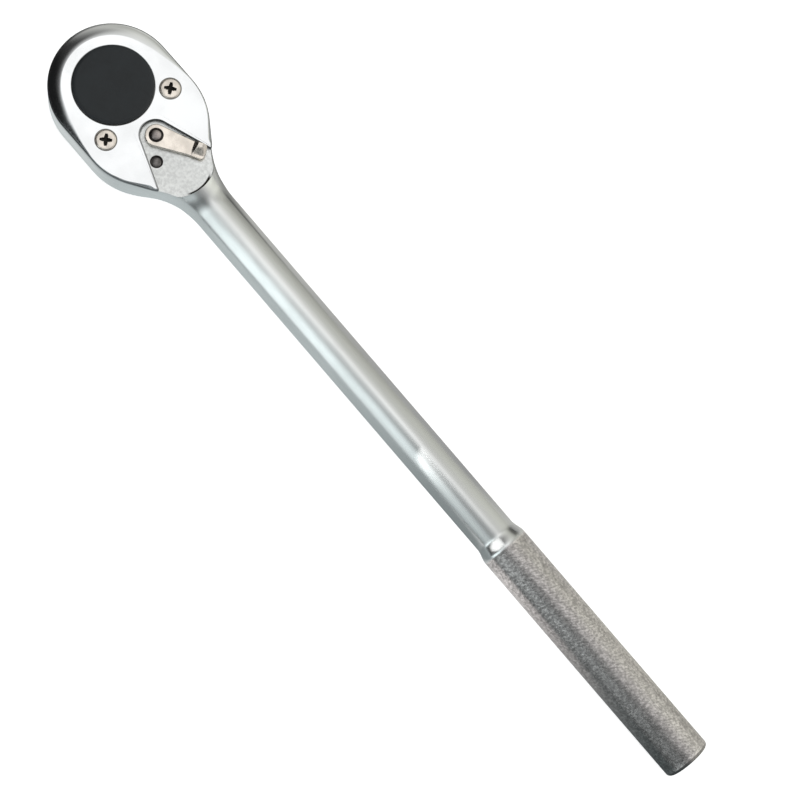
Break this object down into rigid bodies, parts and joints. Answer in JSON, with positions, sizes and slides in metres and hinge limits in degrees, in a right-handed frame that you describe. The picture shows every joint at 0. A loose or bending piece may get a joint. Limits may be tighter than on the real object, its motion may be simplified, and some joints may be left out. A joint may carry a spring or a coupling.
{
  "type": "ratchet wrench",
  "caption": "Long reversible ratchet wrench: pear-shaped head with a square drive, a thumb lever in a V notch, and a round shank with a knurled grip.",
  "frame": {"origin": "on the drive axis, in the plane of the shoulder that a socket seats against", "axes": "+X along the handle towards the grip's end, +Z out of the covered face of the head, -Z out of the drive square"},
  "size_m": [0.5003, 0.0686, 0.0554],
  "materials": {
    "satin_chrome": "satin chrome plate on the forging, knurled on the grip",
    "bright_chrome": "polished chrome plate",
    "nickel": "warm nickel plate",
    "black_steel": "matt blackened steel",
    "drive_steel": "phosphated and oiled alloy steel",
    "hard_steel": "ground hardened steel",
    "spring_steel": "oiled spring steel",
    "seal_rubber": "black nitrile rubber"
  },
  "bodies": {
    "handle": {"handle": "satin_chrome", "cover_plate": "bright_chrome", "cover_screws": "nickel", "thrust_washer": "spring_steel", "hub_seal": "seal_rubber", "pawl_pin_left": "hard_steel", "pawl_pin_right": "hard_steel", "pawl_spring_left": "spring_steel", "pawl_spring_right": "spring_steel", "detent_spring": "spring_steel"},
    "drive": {"ratchet_gear": "drive_steel", "hub_disc": "black_steel", "drive_ball_spring": "spring_steel"},
    "drive_ball": {"drive_ball": "hard_steel"},
    "selector": {"reversing_lever": "nickel", "lever_washer": "hard_steel", "cam_spindle": "hard_steel"},
    "detent_ball": {"detent_ball": "hard_steel"},
    "pawl_left": {"pawl_left": "hard_steel"},
    "pawl_right": {"pawl_right": "hard_steel"}
  },
  "joints": [
    {"name": "drive_spin", "type": "hinge", "parent": "handle", "child": "drive", "pos_m": [0, 0, 0], "axis": [0, 0, 1], "continuous": true},
    {"name": "lever_flip", "type": "hinge", "parent": "handle", "child": "selector", "pos_m": [0.0347, 0, 0], "axis": [0, 0, 1], "range_deg": [-60, 0]},
    {"name": "pawl_left_swing", "type": "hinge", "parent": "handle", "child": "pawl_left", "pos_m": [0.0453, 0.0086, 0], "axis": [0, 0, 1], "range_deg": [-8.01, 0], "deforming": ["pawl_spring_left"]},
    {"name": "pawl_right_swing", "type": "hinge", "parent": "handle", "child": "pawl_right", "pos_m": [0.0453, -0.0086, 0], "axis": [0, 0, 1], "range_deg": [-8.01, 0], "deforming": ["pawl_spring_right"]},
    {"name": "drive_ball_press", "type": "slide", "parent": "drive", "child": "drive_ball", "axis": [1, 0, 0], "range_m": [0, 0.0011], "stiffness_N_per_m": 1500, "springref_m": -0.002, "deforming": ["drive_ball_spring"]},
    {"name": "detent_rise", "type": "slide", "parent": "handle", "child": "detent_ball", "axis": [0, 0, 1], "range_m": [0, 0.0005], "stiffness_N_per_m": 200, "deforming": ["detent_spring"]}
  ],
  "couplings": [
    {"joint": "pawl_left_swing", "follows": "lever_flip", "ratio": 0.13333},
    {"joint": "pawl_right_swing", "follows": "lever_flip", "ratio": 0.13333}
  ]
}
